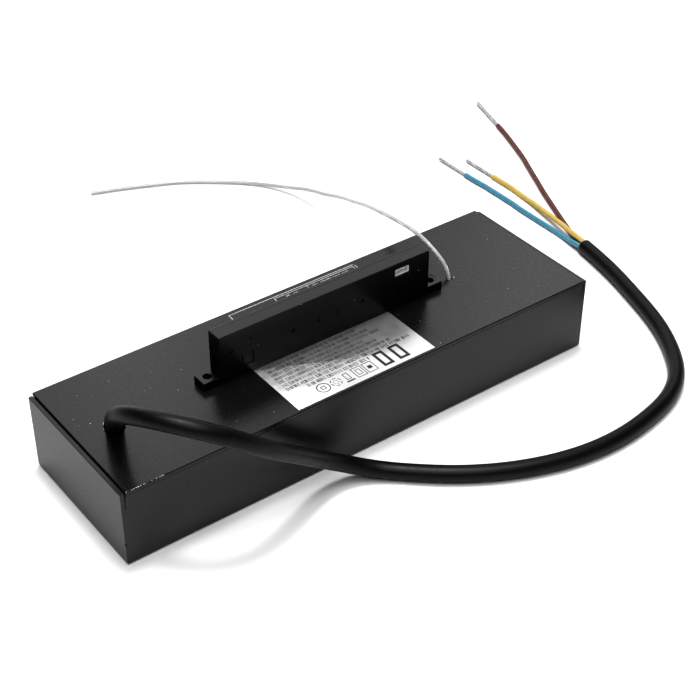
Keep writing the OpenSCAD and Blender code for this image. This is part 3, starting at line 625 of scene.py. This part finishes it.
cuts = tongue_cuts(1, 4.2)
cuts.append(cutter(lambda b: block(b, (30.1, 1, 44.5), (37.2, 4.2, 47.9), rc=0.25, r0=0, r1=0, axis="y")))
for s in (-1, 1):
    cuts.append(cutter(lambda b, s=s: plain_box(b, (BX + s * 45.25 - 0.4, 2.7, 41.2), (BX + s * 45.25 + 0.4, 3.7, 41.8))))
for x, z in PINS:
    cuts.append(cutter(lambda b, x=x, z=z: cyl(b, (BX + x, 1, z), "y", 0.8, 1.8, sides=24)))
bm = new()
block(bm, (BX - 45.25, 2.0, 34.2), (BX + 45.25, 3.2, 50.3), rc=[0.05, 0.3, 0.7, 0.05], r0=0.08, r1=0.22, axis="y", seg=5)
back = combine("adapter_back_half", bm, cuts, material="plastic")
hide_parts("adapter_back_cover")

# pins with domed ends
bm = new()
for x, z in PINS:
    rows = []
    prof = [(2.8, 0.3), (2.75, 0.6), (2.6, 0.72), (2.4, 0.75), (-2.4, 0.75), (-2.6, 0.72), (-2.75, 0.6), (-2.8, 0.3)]
    for y, r in prof:
        rows.append([Vector((BX + x + r * math.cos(2 * math.pi * j / 24), y, z + r * math.sin(2 * math.pi * j / 24))) for j in range(24)])
    rows_mesh(bm, rows)
pins = finish_mesh("adapter_pin_set", bm, "pin")
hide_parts("adapter_pins")

# ---- label, with plain rows of blocks where print would be
bm = new()
block(bm, (-31.4, -30.2, 31.0), (27.3, -3.25, 31.1), rc=0.25, r0=0, r1=0.03, seg=4, eseg=2)
label = finish_mesh("label_sheet", bm, "label")
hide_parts("rating_label")



def bars(bm, items, z0, z1):
    """Flat bars of print: (x0, y0, x1, y1) each."""
    for x0, y0, x1, y1 in items:
        plain_box(bm, (min(x0, x1), min(y0, y1), z0), (max(x0, x1), max(y0, y1), z1))


def word_marks(rnd, x0, x1, y, high, bold):
    """A line of small plain figures in groups, where a line of print would be: bars, pairs of bars and open boxes."""
    out, x = [], x0
    t = 0.26 if bold else 0.2
    while x < x1:
        for _ in range(rnd.randint(3, 9)):
            w = rnd.choice((0.5, 0.58, 0.66))
            if x + w > x1:
                break
            kind = rnd.random()
            out.append((x, y, x + t, y + high))
            if kind < 0.35:
                out.append((x + w - t, y, x + w, y + high))
            elif kind < 0.6:
                out.append((x + t, y, x + w, y + t))
                out.append((x + t, y + high - t, x + w, y + high))
            elif kind < 0.8:
                out.append((x + t, y + high * 0.5 - t / 2, x + w, y + high * 0.5 + t / 2))
            x += w + 0.24
        x += 0.5
    return out


def ring(bm, cx, cy, r, w, z0, z1, a0=0, a1=360, sides=48):
    """A flat ring or a piece of one."""
    n = max(3, int(sides * (a1 - a0) / 360))
    full = a1 - a0 >= 360
    rows = []
    for k in range(n + (0 if full else 1)):
        a = math.radians(a0 + (a1 - a0) * k / n)
        c, q = math.cos(a), math.sin(a)
        rows.append([Vector((cx + rr * c, cy + rr * q, z)) for rr, z in ((r - w / 2, z0), (r + w / 2, z0), (r + w / 2, z1), (r - w / 2, z1))])
    if full:
        rows.append(rows[0])
    rows_mesh(bm, rows, cap0=not full, cap1=not full)
    if full:
        bmesh.ops.remove_doubles(bm, verts=bm.verts, dist=1e-8)


def frame_marks(x0, y0, x1, y1, w):
    return [(x0, y0, x1, y0 + w), (x0, y1 - w, x1, y1), (x0, y0 + w, x0 + w, y1 - w), (x1 - w, y0 + w, x1, y1 - w)]


rnd = random.Random(11)
bm = new()
LZ0, LZ1 = 31.1, 31.115
LINES = [(-28.4, 11.9, -5.95, 1.5, False), (-28.4, 14.8, -8.2, 1.5, False), (-28.4, 18.9, -10.55, 1.5, False),
         (-28.4, 9.1, -12.75, 1.5, False), (-28.4, 13.5, -14.95, 1.45, False), (-28.4, 17.8, -17.35, 1.55, False),
         (-28.4, 25.0, -19.65, 1.6, True), (-21.3, 5.3, -22.0, 1.6, True)]
for x0, x1, y, high, bold in LINES:
    bars(bm, word_marks(rnd, x0, x1, y, high, bold), LZ0, LZ1)
# plain figures in the symbol row
bars(bm, frame_marks(-4.7, -28.1, -0.6, -22.6, 0.3) + frame_marks(0.0, -28.1, 4.05, -22.6, 0.3) + frame_marks(-3.6, -26.9, -1.7, -23.8, 0.26)
     + frame_marks(-8.6, -26.8, -6.6, -23.2, 0.3) + [(-9.3, -28.1, -5.9, -27.4), (1.2, -26.2, 2.9, -24.5)], LZ0, LZ1)
# two plain open squares where a large mark would be
bars(bm, frame_marks(6.5, -28.4, 10.9, -20.1, 1.15) + frame_marks(13.3, -28.4, 17.8, -20.1, 1.15), LZ0, LZ1)
label_print = finish_mesh("label_print", bm, "ink")
bm = new()
ring(bm, -17.7, -25.4, 2.35, 0.38, LZ0, LZ1)
bars(bm, frame_marks(-18.6, -26.3, -16.8, -24.5, 0.3), LZ0, LZ1)
rings_a = finish_mesh("label_rings", bm, "ink")
bm = new()
for k in range(6):
    ring(bm, -12.4, -25.4, 2.0, 0.32, LZ0, LZ1, 60 * k, 60 * k + 40)
    ring(bm, -12.4, -25.4, 1.0, 0.26, LZ0, LZ1, 60 * k + 20, 60 * k + 52)
rings_b = finish_mesh("label_ring_dashes", bm, "ink")

# ---- fine white print on the lid, behind the adapter: two bracketed lines and short dashes
bm = new()
PZ0, PZ1 = 31.0, 31.012
bars(bm, [(-20.6, 28.9, 35.6, 29.25), (-20.6, 26.3, -20.25, 28.9), (35.7, 26.6, 36.05, 28.6),
          (-1.35, 27.95, 34.8, 28.25), (-1.35, 26.3, -1.05, 27.95), (13.1, 26.7, 13.4, 27.95), (34.5, 26.6, 34.8, 27.95)], PZ0, PZ1)
rnd = random.Random(5)
for x0, x1 in ((3.3, 5.0), (6.4, 8.5), (15.3, 17.6), (18.6, 24.0), (24.7, 28.0), (28.6, 31.7)):
    x = x0
    while x < x1:
        w = rnd.choice((0.25, 0.4, 0.55))
        h = rnd.choice((0.3, 0.45, 0.6))
        bars(bm, [(x, 26.65, min(x + w, x1), 26.65 + h)], PZ0, PZ1)
        x += w + rnd.choice((0.2, 0.3))
lid_print = finish_mesh("lid_print", bm, "white_print")


# ---- small chips in the paint and specks, with white flakes on the cable hole's rim as a painted glint
def flake(bm, at, size, rnd, flat=0.4):
    """A small rough crumb."""
    rows = []
    for k, (h, r) in enumerate(((0, 0.6), (0.35, 1.0), (0.75, 0.75), (1.0, 0.3))):
        rows.append([Vector(at) + Vector((size * r * rnd.uniform(0.75, 1.2) * math.cos(2 * math.pi * j / 7),
                                          size * r * rnd.uniform(0.75, 1.2) * math.sin(2 * math.pi * j / 7), (h - 0.25) * size * flat)) for j in range(7)])
    rows_mesh(bm, rows)


rnd = random.Random(21)
bm = new()
x = -97.9
while x < -83.8:
    flake(bm, (x, -31.1 + rnd.uniform(-0.05, 0.05), 30.93), rnd.choice((0.1, 0.13, 0.16, 0.2, 0.26)), rnd, 0.7)
    x += rnd.choice((0.25, 0.4, 0.6, 0.9))
for x, y, r in ((60.7, -0.39, 0.28), (-90.4, 5.1, 0.2), (-38.5, -26.0, 0.14), (-99.3, -27.0, 0.0), (72.0, -18.0, 0.14), (-58.0, 3.0, 0.16), (30.5, -29.2, 0.15), (88.0, 12.0, 0.13)):
    if r:
        flake(bm, (x, y, 31.03), r, rnd, 0.6)
# white flakes on the cable hole's rim: a painted glint, standing for the highlight on the hole's bare edge
rim = oval(-84.5, -0.5, -5.5, -11.2, 3.45, 1.3, 0.12, seg=40)
rim.sort(key=lambda q: math.hypot(q[0] + 88.0, q[1] - 1.0))
for x, y in rim[:10:2]:
    flake(bm, (x, y, 31.01), rnd.choice((0.1, 0.14, 0.18)), rnd, 0.8)
# nicks on the adapter's edges
for p, r in (((-29.1, -3.21, 41.0), 0.14), ((-10.9, -3.1, 50.2), 0.16), ((12.0, -3.21, 42.5), 0.12), ((36.9, -3.21, 43.5), 0.12), ((41.0, -3.21, 43.5), 0.13)):
    flake(bm, p, r, rnd, 0.8)
chips = finish_mesh("paint_chips_and_painted_glint", bm, "chip", angle=20)

# ------------------------------------------------------------------ cords


def sheath_mesh():
    pts, long = even_points(CABLE, 1.4)
    d = sheath_dir
    # blunt, slightly rounded cut end with the jacket's wall showing
    tail = [p for p in pts if (sheath_end - p).length > 1.2]
    for back_by in (1.2, 0.8, 0.45, 0.25, 0.1, 0.0):
        tail.append(sheath_end - d * back_by)
    fr = frames(tail)
    n = len(tail)
    drop = {n - 1: 0.42, n - 2: 0.20, n - 3: 0.08, n - 4: 0.02}
    rnd = random.Random(4)
    wob = [rnd.uniform(-0.012, 0.012) for _ in range(n)]

    def radius(k):
        return LEAD_R + wob[k] * (0 if k > n - 8 else 1) - drop.get(k, 0)

    rows = tube_rows(tail, fr, radius, 40)
    # into the end: rim, then the hollow between jacket and cores
    last, (dd, a, b) = tail[-1], fr[-1]
    for r, inward in ((2.46, 0.0), (2.37, 0.12), (2.33, 0.6), (1.2, 0.7)):
        c = last - d * inward
        rows.append([c + r * (a * math.cos(2 * math.pi * j / 40) + b * math.sin(2 * math.pi * j / 40)) for j in range(40)])
    bm = new()
    rows_mesh(bm, rows)
    o = finish_mesh("mains_lead_sheath", bm, "sheath", angle=50)
    return o, [list(p * MM) for p in tail], long


sheath, sheath_path, sheath_len = sheath_mesh()
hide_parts("mains_lead")


def core_mesh(name, route, key):
    pts, long = even_points(route, 1.0)
    end = pts[-1]
    d = (pts[-1] - pts[-2]).normalized()
    tail = [p for p in pts if (end - p).length > 0.6] + [end - d * x for x in (0.5, 0.25, 0.1, 0.0)]
    fr = frames(tail)
    n = len(tail)
    drop = {n - 1: 0.16, n - 2: 0.05, n - 3: 0.01}
    rnd = random.Random(len(name))
    wob = [rnd.uniform(-0.006, 0.006) for _ in range(n)]
    rows = tube_rows(tail, fr, lambda k: CORE_R + wob[k] - drop.get(k, 0), 24)
    dd, a, b = fr[-1]
    for r, inward in ((0.62, 0.0), (0.57, 0.3)):
        c = end - d * inward
        rows.append([c + r * (a * math.cos(2 * math.pi * j / 24) + b * math.sin(2 * math.pi * j / 24)) for j in range(24)])
    bm = new()
    rows_mesh(bm, rows)
    o = finish_mesh(name, bm, key, angle=50)
    return o, [list(p * MM) for p in tail], long, end, d


def strands_mesh(name, end, d, bare, count, seed, splay=0.0, pitch=9.0, spread=1.0):
    """Twisted tinned wires: an inner bundle and an outer layer, cut off unevenly."""
    rnd = random.Random(seed)
    a = d.cross(Vector((0, 0, 1))).normalized()
    b = d.cross(a)
    bm = new()
    rads = []
    for k in range(count):
        rads.append((0.49, 2 * math.pi * k / count, 0.155))
    for k in range(4):
        rads.append((0.2, 2 * math.pi * k / 4, 0.17))
    for r, ph, w in rads:
        cut = rnd.uniform(0.0, 0.5)
        jit = rnd.uniform(-0.02, 0.02)
        pts = []
        n = 40
        for k in range(n + 1):
            s = -0.25 + (bare - cut + 0.25) * k / n
            t = max(0.0, (s - bare * 0.72) / (bare * 0.28))
            rr = (r + jit) * (1 + splay * t * t) * (1 + (spread - 1) * min(1.0, max(0.0, s / 3.0)))
            ang = ph + 2 * math.pi * s / pitch
            pts.append(end + d * s + a * (rr * math.cos(ang)) + b * (rr * math.sin(ang)))
        rows_mesh(bm, tube_rows(pts, frames(pts), w, 7))
    return finish_mesh(name, bm, "tin", angle=60)


brown, brown_path, brown_len, e1, d1 = core_mesh("brown_insulation", BROWN, "brown")
yellow, yellow_path, yellow_len, e2, d2 = core_mesh("yellow_insulation", YELLOW, "yellow")
blue, blue_path, blue_len, e3, d3 = core_mesh("blue_insulation", BLUE, "blue")
for o, n, s in ((brown, "core_brown", "core_brown_pvc"), (yellow, "core_yellow", "core_yellow_pvc"), (blue, "core_blue", "core_blue_pvc")):
    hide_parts(n)
s_brown = strands_mesh("brown_core_strands", e1, d1, 24.0, 12, 3, splay=0.35, spread=1.35)
s_yellow = strands_mesh("yellow_core_strands", e2, d2, 18.5, 10, 5, splay=0.1)
s_blue = strands_mesh("blue_core_strands", e3, d3, 18.5, 10, 7, splay=0.1)
for o, n in ((s_brown, "strands_brown"), (s_yellow, "strands_yellow"), (s_blue, "strands_blue")):
    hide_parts(n)


def wire_meshes():
    pts, long = even_points(WIRE, 0.9)
    fr = frames(pts, Vector((0, 1, 0)))
    bm = new()
    rows_mesh(bm, tube_rows(pts, fr, 0.8, 20))
    clear = finish_mesh("wire_clear_sheath", bm, "clear", angle=60)
    fine, _ = even_points(WIRE, 0.36)
    fr2 = frames(fine, Vector((0, 1, 0)))
    bm = new()
    pitch = 3.6
    step = long / (len(fine) - 1)
    for k in range(6):
        line = []
        for j, (p, (d, a, b)) in enumerate(zip(fine, fr2)):
            ang = 2 * math.pi * (k / 6 + j * step / pitch)
            line.append(p + 0.36 * (a * math.cos(ang) + b * math.sin(ang)))
        rows_mesh(bm, tube_rows(line, frames(line, Vector((0, 1, 0))), 0.175, 5))
    rows_mesh(bm, tube_rows(pts, fr, 0.19, 6))
    core = finish_mesh("wire_steel_strands", bm, "steel_strand", angle=60)
    return clear, core, [list(p * MM) for p in pts], long


wire, wire_core, wire_path, wire_len = wire_meshes()
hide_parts("thin_wire")

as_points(sheath_path)
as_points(brown_path)
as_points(yellow_path)
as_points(blue_path)
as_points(wire_path)
print("cord lengths mm", round(sheath_len, 1), round(brown_len, 1), round(yellow_len, 1), round(blue_len, 1), round(wire_len, 1))

# ------------------------------------------------------------------ stage and light
bm = new()
rows_mesh(bm, [[Vector((x, y, z)) for x, y in ((-2500, -2500), (2500, -2500), (2500, 2500), (-2500, 2500))] for z in (-10, -0.01)])
M["floor"] = mat("studio_floor", (0.9, 0.9, 0.9), 0.9, specular=0.1, tint=(0.885, 0.885, 0.885), tint_scale=2, rough_add=0.02)
floor = finish_mesh("studio_floor", bm, "floor", ride=False)
# a low pale wall all round, far behind the floor that the camera sees
bm = new()
rows_mesh(bm, [[Vector((r * math.cos(2 * math.pi * k / 64), r * math.sin(2 * math.pi * k / 64), z)) for k in range(64)]
               for r, z in ((2450, 0), (2450, 700), (2480, 700), (2480, 0), (2450, 0))], cap0=False, cap1=False)
bmesh.ops.remove_doubles(bm, verts=bm.verts, dist=1e-7)
wall = finish_mesh("studio_wall", bm, "floor", ride=False)

world = bpy.data.worlds.new("studio")
scene.world = world
world.use_nodes = True
world.node_tree.nodes["Background"].inputs["Color"].default_value = (1, 1, 1, 1)
world.node_tree.nodes["Background"].inputs["Strength"].default_value = 0.005


def softbox(name, azimuth, elevation, distance, size, radiance):
    """A square soft light seen from the object at azimuth (0 along +Y, 90 along +X) and elevation."""
    a, e = math.radians(azimuth), math.radians(elevation)
    d = Vector((math.sin(a) * math.cos(e), math.cos(a) * math.cos(e), math.sin(e)))
    ld = bpy.data.lights.new(name, "AREA")
    ld.shape = "SQUARE"
    ld.size = size
    ld.energy = radiance * math.pi * size * size
    o = bpy.data.objects.new(name, ld)
    scene.collection.objects.link(o)
    o.location = Vector((0.03, 0, 0.02)) + d * distance
    o.rotation_mode = "QUATERNION"
    o.rotation_quaternion = d.to_track_quat("Z", "Y")
    return o


softbox("key", 14, 85, 1.6, 0.2, 50.0)
softbox("overhead", 0, 89, 1.6, 1.1, 3.6)
softbox("front_fill", 220, 60, 1.6, 1.1, 2.3)
softbox("back_left", 10, 37, 1.6, 0.7, 1.05)
softbox("back_mid", 35, 37, 1.6, 0.7, 1.05)
softbox("back_right", 60, 37, 1.6, 0.7, 1.25)
softbox("low_back", 15, 14, 1.6, 0.7, 1.0)

scene.view_settings.view_transform = "Standard"
scene.view_settings.look = "High Contrast"
